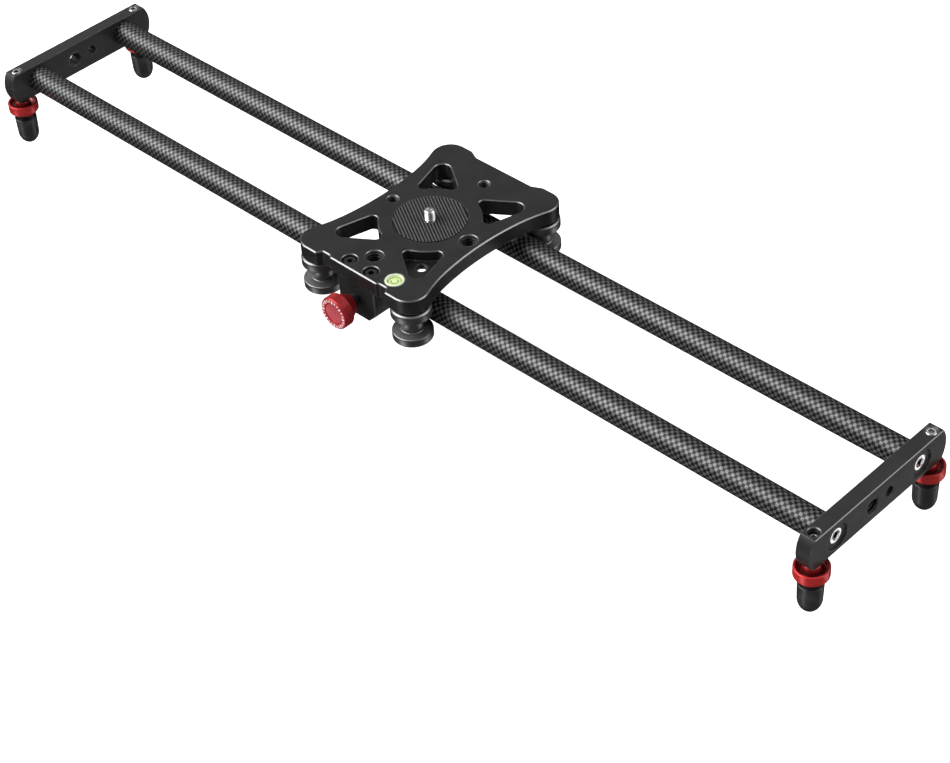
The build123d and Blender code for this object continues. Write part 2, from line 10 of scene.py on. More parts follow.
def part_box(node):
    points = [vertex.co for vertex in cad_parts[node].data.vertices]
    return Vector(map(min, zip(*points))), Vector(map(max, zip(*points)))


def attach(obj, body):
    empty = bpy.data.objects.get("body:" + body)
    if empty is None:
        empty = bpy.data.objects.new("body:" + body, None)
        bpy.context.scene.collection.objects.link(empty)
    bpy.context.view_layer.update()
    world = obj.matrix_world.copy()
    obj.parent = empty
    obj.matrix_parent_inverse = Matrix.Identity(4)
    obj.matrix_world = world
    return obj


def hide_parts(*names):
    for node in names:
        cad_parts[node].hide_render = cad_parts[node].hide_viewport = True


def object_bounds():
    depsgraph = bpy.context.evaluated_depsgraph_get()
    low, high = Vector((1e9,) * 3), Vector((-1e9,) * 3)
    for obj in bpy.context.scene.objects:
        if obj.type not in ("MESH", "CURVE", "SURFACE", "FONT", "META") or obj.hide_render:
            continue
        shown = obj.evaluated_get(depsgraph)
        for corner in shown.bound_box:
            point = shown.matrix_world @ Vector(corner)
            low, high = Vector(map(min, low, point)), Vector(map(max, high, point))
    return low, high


# Looks for the camera slider. Sizes of shapes are in millimetres and sizes in materials are in metres. Meshes
# are built in metres in the part's own frame: X along the rails, +Z up, -Y the side with the brake knob.
MM = 0.001
UP = Vector((0, 0, 1))
ALONG = Vector((1, 0, 0))
ACROSS = Vector((0, 1, 0))
CORNERS = ["front_left", "front_right", "rear_left", "rear_right"]

# How far a leg screws out. The floor lies this far below the feet, so that they have room.
LEG_TRAVEL = 8.0

# The grooves in the bubble level's dial: their radii, and half their width where they open.
LEVEL_RINGS = (3.55, 1.75)
RING_HALF_WIDTH = 0.28

# The ribs on the friction pad, and how far below their tops the painted shade between the ribs is full and
# where it has faded out.
RIB_PITCH = 1.67
RIB_HEIGHT = 0.4
RIB_SHADE_FULL_DEPTH = 0.34
RIB_SHADE_END_DEPTH = 0.12

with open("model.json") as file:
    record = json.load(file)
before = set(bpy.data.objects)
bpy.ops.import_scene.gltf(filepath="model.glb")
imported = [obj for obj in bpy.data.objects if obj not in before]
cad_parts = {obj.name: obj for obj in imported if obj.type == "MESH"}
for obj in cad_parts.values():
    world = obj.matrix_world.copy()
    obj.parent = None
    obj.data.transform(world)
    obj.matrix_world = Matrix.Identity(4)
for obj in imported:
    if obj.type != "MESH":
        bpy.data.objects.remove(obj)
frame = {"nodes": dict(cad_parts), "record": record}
cad_low, cad_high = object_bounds()


def box_mm(node):
    low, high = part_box(node)
    return low / MM, high / MM


def centre_mm(node):
    low, high = box_mm(node)
    return (low + high) / 2


# ---------------------------------------------------------------- materials


class Look:
    """A node material: a principled shader and the textures that feed it."""

    def __init__(self, name, colour, roughness, **inputs):
        self.material = bpy.data.materials.new(name)
        self.material.use_nodes = True
        self.tree = self.material.node_tree
        self.shader = self.tree.nodes["Principled BSDF"]
        self.where = self.add("TexCoord")
        self.set("Base Color", colour)
        self.set("Roughness", roughness)
        for key, value in inputs.items():
            self.set(key.replace("_", " "), value)

    def add(self, kind, *values, **properties):
        """A new shader node. Values fill its inputs in order; None leaves one alone."""
        node = self.tree.nodes.new("ShaderNode" + kind)
        for key, value in properties.items():
            setattr(node, key, value)
        for socket, value in zip(node.inputs, values):
            self.fill(socket, value)
        return node

    def fill(self, socket, value):
        if isinstance(value, bpy.types.Node):
            value = value.outputs[0]
        if isinstance(value, bpy.types.NodeSocket):
            self.tree.links.new(value, socket)
        elif value is not None:
            if socket.type == "RGBA" and len(value) == 3:
                value = (*value, 1.0)
            socket.default_value = value

    def set(self, key, value):
        self.fill(self.shader.inputs[key], value)

    def math(self, operation, *values):
        return self.add("Math", *values, operation=operation).outputs[0]

    def part(self, vector, letter):
        return self.add("SeparateXYZ", vector).outputs["XYZ".index(letter)]

    def object_place(self):
        return self.where.outputs["Object"]

    def surface_place(self):
        """Distance round a turned piece and along its outline, in metres."""
        return self.where.outputs["UV"]

    def noise(self, scale, detail, stretch=None, place=None):
        place = place or self.object_place()
        if stretch:
            place = self.add("VectorMath", place, stretch, operation="MULTIPLY")
        node = self.add("TexNoise", noise_dimensions="3D")
        self.fill(node.inputs["Vector"], place)
        node.inputs["Scale"].default_value = scale
        node.inputs["Detail"].default_value = detail
        return node.outputs[0]

    def remap(self, value, low, high, to_low, to_high):
        return self.add("MapRange", value, low, high, to_low, to_high).outputs[0]

    def mix(self, share, first, second):
        node = self.add("Mix", data_type="RGBA")
        for key, value in (("Factor", share), ("A", first), ("B", second)):
            sockets = [s for s in node.inputs if s.name == key and s.enabled]
            self.fill(sockets[0], value)
        return [s for s in node.outputs if s.enabled][0]

    def bump(self, height, distance, strength, normal=None):
        node = self.add("Bump")
        self.fill(node.inputs["Strength"], strength)
        self.fill(node.inputs["Distance"], distance)
        self.fill(node.inputs["Height"], height)
        self.fill(node.inputs["Normal"], normal)
        return node.outputs[0]

    def open_share(self, reach, low=0.35, high=0.9):
        """How open the surface is to what lies round it: 0 deep in a recess, 1 out in the open."""
        node = self.add("AmbientOcclusion", samples=6)
        node.inputs["Distance"].default_value = reach
        return self.remap(node.outputs["AO"], low, high, 0.0, 1.0)

    def edges(self, radius):
        """The normal rounded over at edges, and how much it turns there, from 0 on flats to 1."""
        rounded = self.add("Bevel", radius, samples=4).outputs[0]
        flat = self.add("NewGeometry").outputs["True Normal"]
        straight = self.add("VectorMath", rounded, flat, operation="DOT_PRODUCT").outputs["Value"]
        return rounded, self.remap(straight, 0.985, 0.90, 0.0, 1.0)


def anodised_black(name, colour, roughness, worn, cut_metal):
    """Blasted and anodised aluminium: fine grain, faint clouds, lighter worn edges, and chamfers cut bright.

    Chamfers are the open faces that slope at 45 degrees.
    """
    look = Look(name, colour, roughness, Specular_IOR_Level=0.4)
    rounded, edge = look.edges(0.0004)
    clouds = look.noise(55, 3)
    grain = look.noise(5200, 2)
    scuffs = look.noise(420, 4)
    dark = [0.75 * c for c in colour]
    light = [1.3 * c for c in colour]
    tone = look.mix(look.remap(clouds, 0.3, 0.7, 0, 1), dark, light)
    wear = look.math("MULTIPLY", edge, look.remap(scuffs, 0.35, 0.62, 0.25, 1.0))
    tone = look.mix(wear, tone, worn)
    height = look.part(look.add("NewGeometry").outputs["True Normal"], "Z")
    slope = math.cos(math.radians(45))
    cut = look.math("COMPARE", look.math("ABSOLUTE", height), slope, 0.12)
    cut = look.math("MULTIPLY", cut, look.open_share(0.005, 0.7, 0.95))
    look.set("Base Color", look.mix(cut, tone, cut_metal))
    look.set("Metallic", look.math("MULTIPLY", cut, 0.85))
    rough = look.remap(look.math("ADD", grain, clouds), 0.6, 1.4, roughness - 0.06, roughness + 0.08)
    look.set("Roughness", look.add("Mix", cut, None, rough, 0.3))
    look.set("Normal", look.bump(grain, 0.00003, 0.35, rounded))
    return look.material


def carbon(name, radius):
    """Plain-woven tow under clear coat. Squares alternate between tow running round and running along."""
    look = Look(name, (0.02, 0.02, 0.02), 0.4, Coat_Weight=0.45, Coat_Roughness=0.42)
    cells_round = 26
    cell = math.tau * radius * MM / cells_round
    place = look.add("VectorMath", look.surface_place(), (1 / cell,) * 3, operation="MULTIPLY").outputs[0]
    around, along = look.part(place, "X"), look.part(place, "Y")
    steps = look.math("ADD", look.math("FLOOR", around), look.math("FLOOR", along))
    parity = look.math("FLOORED_MODULO", steps, 2.0)
    in_round, in_along = look.math("FRACT", around), look.math("FRACT", along)
    across_tow = look.add("Mix", parity, None, in_along, in_round).outputs[0]
    along_tow = look.add("Mix", parity, None, in_round, in_along).outputs[0]
    crown = look.math("SINE", look.math("MULTIPLY", across_tow, math.pi))
    dive = look.math("SINE", look.math("MULTIPLY", along_tow, math.pi))
    fibres = look.noise(1.0, 3, stretch=(4200, 260, 1), place=look.surface_place())
    fibres_along = look.noise(1.0, 3, stretch=(260, 4200, 1), place=look.surface_place())
    streak = look.add("Mix", parity, None, fibres, fibres_along).outputs[0]
    height = look.math("MULTIPLY", look.math("POWER", crown, 0.5), look.math("POWER", dive, 0.35))
    shade = look.remap(streak, 0.3, 0.7, 0.75, 1.25)
    tow = look.mix(parity, (0.001, 0.001, 0.001), (0.066, 0.066, 0.067))
    joint = look.remap(height, 0.25, 0.7, 0.25, 1.0)
    tone = look.add("VectorMath", tow, operation="SCALE")
    look.fill(tone.inputs["Scale"], look.math("MULTIPLY", shade, joint))
    look.set("Base Color", tone.outputs[0])
    look.set("Specular IOR Level", look.remap(parity, 0, 1, 0.12, 1.0))
    look.set("Roughness", look.remap(streak, 0.3, 0.7, 0.38, 0.50))
    look.set("Normal", look.bump(height, 0.00006, 0.35))
    return look.material


def turned_metal(
    name, colour, roughness, metallic, *, lines=6500, surface=True, recess=0.002, lit_face_colour=None, **inputs
):
    """Metal off a lathe: fine lines round it, roughness that varies with them, and painted shade down in
    recesses.

    The lines run round a turned piece's own axis, or round Z on a piece with no surface distances. Faces
    square to Y can be painted another colour, as painted light on them.
    """
    look = Look(name, colour, roughness, Metallic=metallic, **inputs)
    place = look.surface_place() if surface else look.object_place()
    stretch = (30, lines, 1) if surface else (30, 30, lines)
    groove = look.noise(1.0, 2, stretch=stretch, place=place)
    clouds = look.noise(180, 3)
    light = [min(1.0, 1.18 * c) for c in colour]
    dark = [0.82 * c for c in colour]
    share = look.remap(look.math("ADD", groove, clouds), 0.7, 1.3, 0, 1)
    # Painted shade: down in recesses the colour falls towards a tenth of its own.
    recess_shade = [0.10 * c for c in colour]
    tone = look.mix(share, dark, light)
    # Painted light: faces square to Y are painted lighter, a painted sheen.
    if lit_face_colour:
        square = look.math("ABSOLUTE", look.part(look.add("NewGeometry").outputs["Normal"], "Y"))
        tone = look.mix(look.remap(square, 0.9, 0.97, 0, 1), tone, lit_face_colour)
    look.set("Base Color", look.mix(look.open_share(recess), recess_shade, tone))
    look.set("Roughness", look.remap(groove, 0.3, 0.7, roughness - 0.05, roughness + 0.09))
    look.set("Normal", look.bump(groove, 0.000012, 0.5))
    return look.material


def rubber(name, colour, roughness):
    """Moulded rubber: a matte skin with fine pits and dusty clouds."""
    look = Look(name, colour, roughness, Specular_IOR_Level=0.45)
    pits = look.noise(3800, 3)
    dust = look.noise(140, 4)
    pale = [2.2 * c + 0.006 for c in colour]
    look.set("Base Color", look.mix(look.remap(dust, 0.42, 0.75, 0, 0.55), colour, pale))
    look.set("Roughness", look.remap(pits, 0.3, 0.7, roughness - 0.05, roughness + 0.1))
    look.set("Normal", look.bump(pits, 0.00004, 0.4))
    return look.material


def ribbed_rubber(name, top, bottom, low, high, roughness):
    """Ribbed rubber in its own tone on top, painted near black lower down as painted shade between the ribs.
    """
    look = Look(name, top, roughness, Specular_IOR_Level=0.3)
    height = look.part(look.object_place(), "Z")
    pits = look.noise(3800, 3)
    worn = look.remap(pits, 0.3, 0.7, 0.75, 1.0)
    # Painted shade: below the ribs' tops the colour fades to near black; pits break it up.
    unshaded_share = look.math("MULTIPLY", look.remap(height, low, high, 0, 1), worn)
    look.set("Base Color", look.mix(unshaded_share, bottom, top))
    look.set("Roughness", look.remap(pits, 0.3, 0.7, roughness - 0.05, roughness + 0.1))
    look.set("Normal", look.bump(pits, 0.00003, 0.4))
    return look.material


def plastic(name, colour, roughness, painted_glow=0.0, rings=None, **inputs):
    """Moulded plastic with a faint skin and a little colour drift. Rings, a centre and radii, are darker.
    Painted glow makes it shine in its own tone.
    """
    look = Look(name, colour, roughness, **inputs)
    drift = look.noise(380, 3)
    skin = look.noise(2600, 2)
    light = [min(1.0, 1.08 * c + 0.01) for c in colour]
    dark = [0.86 * c for c in colour]
    tone = look.mix(drift, dark, light)
    # Painted shade: the rings darken to a fifth of the colour, as shade down in the dial's grooves.
    if rings:
        centre, radii = rings
        place = look.add("VectorMath", look.object_place(), (1, 1, 0), operation="MULTIPLY").outputs[0]
        reach = look.add("VectorMath", place, centre * MM, operation="DISTANCE").outputs["Value"]
        for radius in radii:
            on_ring = look.math("COMPARE", reach, radius * MM, RING_HALF_WIDTH * MM)
            tone = look.mix(on_ring, tone, [0.2 * c for c in colour])
    look.set("Base Color", tone)
    look.set("Roughness", look.remap(skin, 0.3, 0.7, roughness - 0.04, roughness + 0.06))
    look.set("Normal", look.bump(skin, 0.00002, 0.3))
    # Painted light: the plastic glows in its own tone, though it is no lamp.
    if painted_glow:
        look.set("Emission Color", tone)
        look.set("Emission Strength", painted_glow)
    return look.material


def clear(name, tint, share):
    """A clear window: mostly seen through, with a glossy skin that grows at grazing angles."""
    look = Look(name, tint, 0.06, Specular_IOR_Level=0.6)
    ripple = look.noise(700, 2)
    look.set("Roughness", look.remap(ripple, 0.3, 0.7, 0.03, 0.1))
    look.set("Normal", look.bump(ripple, 0.00001, 0.3))
    rim = look.add("LayerWeight", 0.35).outputs["Facing"]
    look.set("Alpha", look.remap(rim, 0.0, 1.0, share, 0.4))
    return look.material


level_low, level_high = box_mm("level_case")
level_axis = Vector(((level_low.x + level_high.x) / 2, (level_low.y + level_high.y) / 2, 0))
pad_low, pad_high = box_mm("friction_pad")
rib_shade_heights = ((pad_high.z - RIB_SHADE_FULL_DEPTH) * MM, (pad_high.z - RIB_SHADE_END_DEPTH) * MM)

# One look for each material slot of the record, then looks for single pieces.
looks = {
    "block_black": anodised_black("block_black", (0.019,) * 3, 0.40, (0.30,) * 3, (0.20,) * 3),
    "plate_black": anodised_black("plate_black", (0.015,) * 3, 0.36, (0.30,) * 3, (0.22,) * 3),
    "carbon_weave": carbon("carbon_weave", 7.5),
    "plain_aluminium": turned_metal("plain_aluminium", (0.60, 0.61, 0.63), 0.34, 1.0, surface=False),
    "screw_chrome": turned_metal("screw_chrome", (0.66, 0.66, 0.66), 0.13, 1.0, recess=0.0011),
    "screw_black": turned_metal("screw_black", (0.035, 0.035, 0.038), 0.36, 0.6, surface=False),
    "pad_rubber": ribbed_rubber("pad_rubber", (0.105,) * 3, (0.005,) * 3, *rib_shade_heights, 0.5),
    # The level's plastics glow: painted light.
    "level_white": plastic("level_white", (0.70, 0.76, 0.58), 0.25, painted_glow=0.3),
    "level_lime": plastic("level_lime", (0.55, 0.72, 0.18), 0.3, painted_glow=0.25, rings=(level_axis, LEVEL_RINGS)),
    "level_clear": clear("level_clear", (0.7, 0.8, 0.6), 0.02),
    # The bubble is painted paler than the liquid: a painted highlight.
    "level_air": plastic("level_air", (0.66, 0.80, 0.42), 0.12, painted_glow=0.3),
    "bearing_steel": turned_metal("bearing_steel", (0.68, 0.68, 0.69), 0.2, 1.0, surface=False),
    "shoe_plastic": plastic("shoe_plastic", (0.58, 0.56, 0.50), 0.45),
    "knob_red": turned_metal("knob_red", (0.64, 0.035, 0.036), 0.30, 0.45, Coat_Weight=0.3, recess=0.004),
    "roller_grey": turned_metal(
        "roller_grey", (0.27,) * 3, 0.32, 0.9, lines=4200, recess=0.0025, Anisotropic=0.5
    ),
    "foot_rubber": rubber("foot_rubber", (0.026,) * 3, 0.30),
    "core_black": turned_metal("core_black", (0.012, 0.012, 0.013), 0.42, 0.3, surface=False),
    "stud_steel": turned_metal("stud_steel", (0.72, 0.72, 0.72), 0.22, 1.0, recess=0.0012),
}
# The brake knob's face is painted lighter: a painted sheen on it.
brake_red = turned_metal(
    "brake_red", (0.50, 0.018, 0.022), 0.30, 0.45, Coat_Weight=0.3, recess=0.004, lit_face_colour=(0.72, 0.12, 0.14)
)
# The white marks glow a little: painted light.
mark_white = plastic("mark_white", (0.95, 0.88, 0.88), 0.4, painted_glow=0.15)
screw_zinc = turned_metal("screw_zinc", (0.66, 0.66, 0.66), 0.24, 1.0, recess=0.0009)
thread_black = turned_metal("thread_black", (0.05, 0.05, 0.05), 0.32, 0.5, lines=2500)

# ---------------------------------------------------------------- mesh helpers


def soften(outline, radius, steps=4, closed=False):
    """Rounds an outline's corners. An open outline keeps its two ends."""
    rounded = []
    count = len(outline)
    for i, point in enumerate(outline):
        if not closed and i in (0, count - 1):
            rounded.append(point)
            continue
        corner = Vector(point)
        before = Vector(outline[i - 1]) - corner
        after = Vector(outline[(i + 1) % count]) - corner
        first = corner + before * min(0.45, radius / before.length)
        last = corner + after * min(0.45, radius / after.length)
        for k in range(steps + 1):
            t = k / steps
            bend = (1 - t) ** 2 * first + 2 * t * (1 - t) * corner + t * t * last
            rounded.append((bend.x, bend.y))
    return rounded


def rows(radius, start, end, spacing, shape):
    """Evenly spaced outline points at one radius, all with a named shape."""
    count = max(2, round(abs(end - start) / spacing))
    return [(radius, start + (end - start) * k / count, shape) for k in range(count + 1)]


def hexagon(angle, height, radius):
    """A hexagonal ring whose flats lie at the stated radius."""
    return radius / math.cos((angle + math.pi / 6) % (math.pi / 3) - math.pi / 6)


def thread(pitch, depth, inside=False):
    """A right-hand thread. Its crests keep the stated radius outside, and its roots do inside."""

    def radius_at(angle, height, radius):
        tooth = abs(2 * ((height / pitch - angle / math.tau) % 1) - 1)
        if inside:
            return radius - depth * (1 - min(1.0, max(0.0, (tooth - 0.3) / 0.55)))
        return radius - depth * min(1.0, max(0.0, (tooth - 0.11) / 0.74))

    return radius_at


def knurl(count, depth, pitch):
    """Pointed diamonds, where two families of slanting grooves cross."""

    def radius_at(angle, height, radius):
        first = (count * angle / math.tau + height / pitch) % 1
        second = (count * angle / math.tau - height / pitch) % 1
        peak = min(1 - abs(2 * first - 1), 1 - abs(2 * second - 1))
        return radius - depth * (1 - min(1.0, 1.5 * peak))

    return radius_at


def finish_mesh(mesh, sharp_over=34):
    """Outward normals, and smooth shading that breaks at sharp edges."""
    shape = bmesh.new()
    shape.from_mesh(mesh)
    bmesh.ops.recalc_face_normals(shape, faces=shape.faces)
    for face in shape.faces:
        face.smooth = True
    for edge in shape.edges:
        edge.smooth = edge.calc_face_angle(0.0) < math.radians(sharp_over)
    shape.to_mesh(mesh)
    shape.free()


def lathe(name, outline, origin, axis, segments=96, closed=False, shapes=None, sharp_over=34):
    """Turns an outline of (radius, height) or (radius, height, shape name) about an axis through origin."""
    side = UP if abs(axis.x) > 0.5 else ALONG
    other = axis.cross(side)
    angles = np.arange(segments) * math.tau / segments
    turn = np.outer(np.cos(angles), np.array(side)) + np.outer(np.sin(angles), np.array(other))
    points, rings, runs = [], [], []
    run = 0.0
    for i, point in enumerate(outline):
        radius, height = point[0], point[1]
        if i:
            run += math.hypot(radius - outline[i - 1][0], height - outline[i - 1][1])
        runs.append(run * MM)
        centre = np.array(origin + axis * height)
        if radius < 1e-6:
            rings.append([len(points)] * segments)
            points.append(centre * MM)
            continue
        radii = np.full(segments, radius)
        if len(point) > 2:
            radii = np.array([shapes[point[2]](a, height, radius) for a in angles])
        rings.append(list(range(len(points), len(points) + segments)))
        points.extend((centre + turn * radii[:, None]) * MM)
    widest = max(point[0] for point in outline) * MM
    faces, places = [], []
    count = len(rings)
    for i in range(count if closed else count - 1):
        first, second = rings[i], rings[(i + 1) % count]
        low, high = runs[i], runs[(i + 1) % count]
        for j in range(segments):
            k = (j + 1) % segments
            corners = [
                (first[j], j, low),
                (first[k], j + 1, low),
                (second[k], j + 1, high),
                (second[j], j, high),
            ]
            if first[j] == first[k]:
                corners.pop(1)
            elif second[j] == second[k]:
                corners.pop(2)
            faces.append([c[0] for c in corners])
            places.extend((c[1] / segments * math.tau * widest, c[2]) for c in corners)
    mesh = bpy.data.meshes.new(name)
    mesh.from_pydata(points, [], faces)
    layer = mesh.uv_layers.new(name="surface")
    layer.data.foreach_set("uv", np.array(places, np.float32).ravel())
    finish_mesh(mesh, sharp_over)
    piece = bpy.data.objects.new(name, mesh)
    bpy.context.scene.collection.objects.link(piece)
    return piece


def joined(name, pieces):
    """One object from several, which are removed."""
    shape = bmesh.new()
    for piece in pieces:
        shape.from_mesh(piece.data)
    mesh = bpy.data.meshes.new(name)
    shape.to_mesh(mesh)
    shape.free()
    for piece in pieces:
        bpy.data.meshes.remove(piece.data)
    whole = bpy.data.objects.new(name, mesh)
    bpy.context.scene.collection.objects.link(whole)
    return whole


def dress(piece, body, slot, *nodes, look=None):
    """Gives a piece its material and body, and hides the CAD nodes it stands for."""
    piece.data.materials.clear()
    piece.data.materials.append(look or looks[slot])
    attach(piece, body)
    if nodes:
        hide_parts(*nodes)
    return piece


# ---------------------------------------------------------------- rails and their end screws

RAIL_WALL = 1.0
for name in ("rail_front", "rail_rear"):
    low, high = box_mm(name)
    radius = (high.z - low.z) / 2
    bore = radius - RAIL_WALL
    middle = (low + high) / 2
    end = (high.x - low.x) / 2
    outline = [(bore, -end), (radius, -end), (radius, end), (bore, end)]
    tube = lathe(f"{name}_tube", soften(outline, 0.25, closed=True), middle, ALONG, 160, closed=True)
    dress(tube, "frame", "carbon_weave", name)

low, high = box_mm("rail_screws")
rail_y = centre_mm("rail_front").y
rail_z = centre_mm("rail_front").z
SCREW_HEAD = 4.25
screws = []
for x, facing in ((low.x, -1), (high.x, 1)):
    for y in (rail_y, -rail_y):
        place = Vector((x, y, rail_z))
        outer = [(1.45, 0.0), (SCREW_HEAD, 0.0), (2.3, -1.95), (1.95, -2.4), (1.95, -14.0), (0.0, -14.0)]
        socket = [(0.0, -1.8), (1.1, -1.8, "hex"), (1.12, -0.12, "hex"), (1.42, 0.0)]
        outline = socket + soften(outer, 0.22)[1:]
        screws.append(lathe(f"screw_{len(screws)}", outline, place, ALONG * facing, shapes={"hex": hexagon}))
dress(joined("rail_end_screws", screws), "frame", "screw_chrome", "rail_screws")

# ---------------------------------------------------------------- rollers

# Radii of the bearings' seat, the bore between them and the groove's neck, then the seat's depth from the
# ends. The groove slopes out from the neck's height to its own, both measured from the roller's middle.
BEARING_SEAT = 6.52
ROLLER_BORE = 4.4
ROLLER_NECK = 6.2
SEAT_DEPTH = 4.5
NECK_END = 3.92
GROOVE_START = 5.01
for corner in CORNERS:
    low, high = box_mm(f"roller_{corner}")
    middle = (low + high) / 2
    rim, top = (high.x - low.x) / 2, (high.z - low.z) / 2
    seat = top - SEAT_DEPTH
    half = [
        (BEARING_SEAT, seat + 0.2),
        (BEARING_SEAT, top),
        (rim - 1.2, top),
        (rim, top - 1.0),
        (rim, GROOVE_START),
        (ROLLER_NECK, NECK_END),
    ]
    lower = [(r, -z) for r, z in reversed(half)]
    outline = [(ROLLER_BORE, seat), *half, *lower, (ROLLER_BORE, -seat)]
    outline = soften(outline, 0.55, steps=5, closed=True)
    wheel = lathe(f"roller_{corner}_turned", outline, middle, UP, 128, closed=True)
    dress(wheel, f"roller_{corner}", "roller_grey", f"roller_{corner}")

# ---------------------------------------------------------------- legs

STUD = 2.95
CORE = 4.0
DOME = 8.0
for corner in CORNERS:
    low, high = box_mm(f"leg_knob_{corner}")
    axis = Vector(((low.x + high.x) / 2, (low.y + high.y) / 2, 0))
    wide = (high.x - low.x) / 2
    top, bottom = high.z, low.z
    rim = top - 1.2
    outline = [
        (STUD, top - 0.1),
        (3.9, top),
        (4.5, rim - 0.4),
        (4.9, rim - 3.2),
        (wide - 2.0, rim - 2.2),
        (wide - 1.2, rim),
        (wide, rim - 0.1),
        (wide, bottom + 1.1),
        (wide - 1.3, bottom),
        (STUD, bottom),
    ]
    knob = lathe(f"leg_knob_{corner}_turned", soften(outline, 0.5, closed=True), axis, UP, 112, closed=True)
    dress(knob, f"leg_knob_{corner}", "knob_red", f"leg_knob_{corner}")

    low, high = box_mm(f"leg_stud_{corner}")
    stud_top, stud_end = high.z, low.z
    thread_high, thread_low = high.z - 0.6, bottom + 2.0
    outline = [
        (0.0, stud_top - 3.0),
        (1.25, stud_top - 3.0, "hex"),
        (1.27, stud_top - 0.1, "hex"),
        (1.55, stud_top),
        (STUD - 0.5, stud_top),
        (STUD - 0.1, stud_top - 0.35),
        *rows(STUD, thread_high, thread_low, 0.085, "thread"),
        (STUD - 0.25, thread_low - 0.2),
        (STUD - 0.05, thread_low - 0.5),
        (STUD - 0.05, stud_end),
        (0.0, stud_end),
    ]
    shapes = {"hex": hexagon, "thread": thread(1.0, 0.5)}
    stud = lathe(f"leg_stud_{corner}_threaded", outline, axis, UP, 60, shapes=shapes, sharp_over=50)
    dress(stud, f"leg_knob_{corner}", "stud_steel", f"leg_stud_{corner}")

    low, high = box_mm(f"foot_{corner}")
    wide = (high.x - low.x) / 2
    tip = wide - 0.25
    core_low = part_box(f"foot_core_{corner}")[0].z / MM
    arc = [math.radians(90 * k / 16) for k in range(16)]
    outline = [(0.0, core_low), (CORE, core_low), (CORE, high.z)]
    outline += [(wide - 0.35, high.z), (wide, high.z - 0.35)]
    outline += [(tip * math.cos(a), low.z + DOME * (1 - math.sin(a))) for a in arc]
    outline += [(0.0, low.z)]
    foot = lathe(f"foot_{corner}_rubber", outline, axis, UP)
    dress(foot, f"foot_{corner}", "foot_rubber", f"foot_{corner}")

# ---------------------------------------------------------------- camera screw and ribbed pad

INCH = 25.4
QUARTER_PITCH = INCH / 20
THREE_EIGHTHS_PITCH = INCH / 16
SHANK = INCH / 8
screw_low, screw_high = box_mm("camera_screw")
origin = Vector((0, 0, 0))
head_top = screw_low.z + 2.9
head = (screw_high.x - screw_low.x) / 2
outline = [
    (0.0, screw_low.z + 2.2),
    (2.85, screw_low.z + 2.2, "hex"),
    (2.9, screw_low.z + 0.1, "hex"),
    (3.5, screw_low.z),
    (head - 0.4, screw_low.z),
    (head, screw_low.z + 0.4),
    (head, head_top - 0.2),
    (head - 0.2, head_top),
    (SHANK - 0.2, head_top),
    (SHANK - 0.2, pad_low.z),
    *rows(SHANK, pad_low.z + 0.2, screw_high.z - 0.75, 0.09, "thread"),
    (SHANK - 0.55, screw_high.z - 0.25),
    (SHANK - 1.0, screw_high.z),
    (0.0, screw_high.z),
]
shapes = {"hex": hexagon, "thread": thread(QUARTER_PITCH, 0.62)}
screw = lathe("camera_screw_threaded", outline, origin, UP, 84, shapes=shapes, sharp_over=50)
dress(screw, "carriage", "screw_chrome", "camera_screw", look=screw_zinc)

RIB_TURN = Matrix.Rotation(math.radians(-30.2), 3, "Z")
PAD_HOLE = 3.4
pad_radius = (pad_high.x - pad_low.x) / 2


def rib(offset, side):
    """Half of one rounded rib across the pad, from the hole in its middle to its rim."""
    half = 0.27 * RIB_PITCH
    section = [(-half, -0.15), (-half, 0.1), (-0.72 * half, 0.32), (-0.3 * half, RIB_HEIGHT)]
    section += [(-y, z) for y, z in reversed(section)]
    points = []
    for reach, hole in ((PAD_HOLE, True), (pad_radius, False)):
        for y, z in section:
            away = offset + y
            along = math.sqrt(max(reach**2 - away**2, 0.0))
            inset = 0.0 if hole else 0.25 * max(0.0, z / RIB_HEIGHT) ** 2
            spot = RIB_TURN @ Vector((side * (along - inset), away, 0))
            points.append((spot.x * MM, spot.y * MM, (pad_high.z - RIB_HEIGHT + z) * MM))
    count = len(section)
    faces = [tuple(range(count)), tuple(range(2 * count - 1, count - 1, -1))]
    for k in range(count):
        n = (k + 1) % count
        faces.append((k, n, count + n, count + k))
    mesh = bpy.data.meshes.new("rib")
    mesh.from_pydata(points, [], faces)
    finish_mesh(mesh, 60)
    return bpy.data.objects.new("rib", mesh)


base = [(PAD_HOLE, pad_low.z), (pad_radius, pad_low.z), (pad_radius, -RIB_HEIGHT), (PAD_HOLE, -RIB_HEIGHT)]
pad_parts = [lathe("pad_base", soften(base, 0.12, closed=True), origin, UP, 128, closed=True)]
rib_count = int((pad_radius - 0.5) / RIB_PITCH)
for n in range(-rib_count, rib_count + 1):
    pad_parts += [rib(n * RIB_PITCH, side) for side in (-1, 1)]
dress(joined("friction_pad_ribbed", pad_parts), "carriage", "pad_rubber", "friction_pad")

# ---------------------------------------------------------------- threads in the open holes


# How far the threads stop short of a hole's ends, and how deep their sleeve is let into the metal.
LEAD_IN = 0.15
SLEEVE_WALL = 0.25


def thread_sleeve(name, radius, pitch, depth, middle, axis, length, slot, body):
    """The threads of a tapped hole, as a thin sleeve whose outside lies within the metal round the hole."""
    end = length / 2
    outline = [
        *rows(radius, -end + LEAD_IN + 0.05, end - LEAD_IN - 0.05, pitch / 12, "thread"),
        (radius + 0.02, end - LEAD_IN),
        (radius + SLEEVE_WALL, end - 0.6),
        (radius + SLEEVE_WALL, -end + 0.6),
        (radius + 0.02, -end + LEAD_IN),
    ]
    shapes = {"thread": thread(pitch, depth, inside=True)}
    sleeve = lathe(name, outline, middle, axis, 72, closed=True, shapes=shapes, sharp_over=50)
    return dress(sleeve, body, slot, look=thread_black)


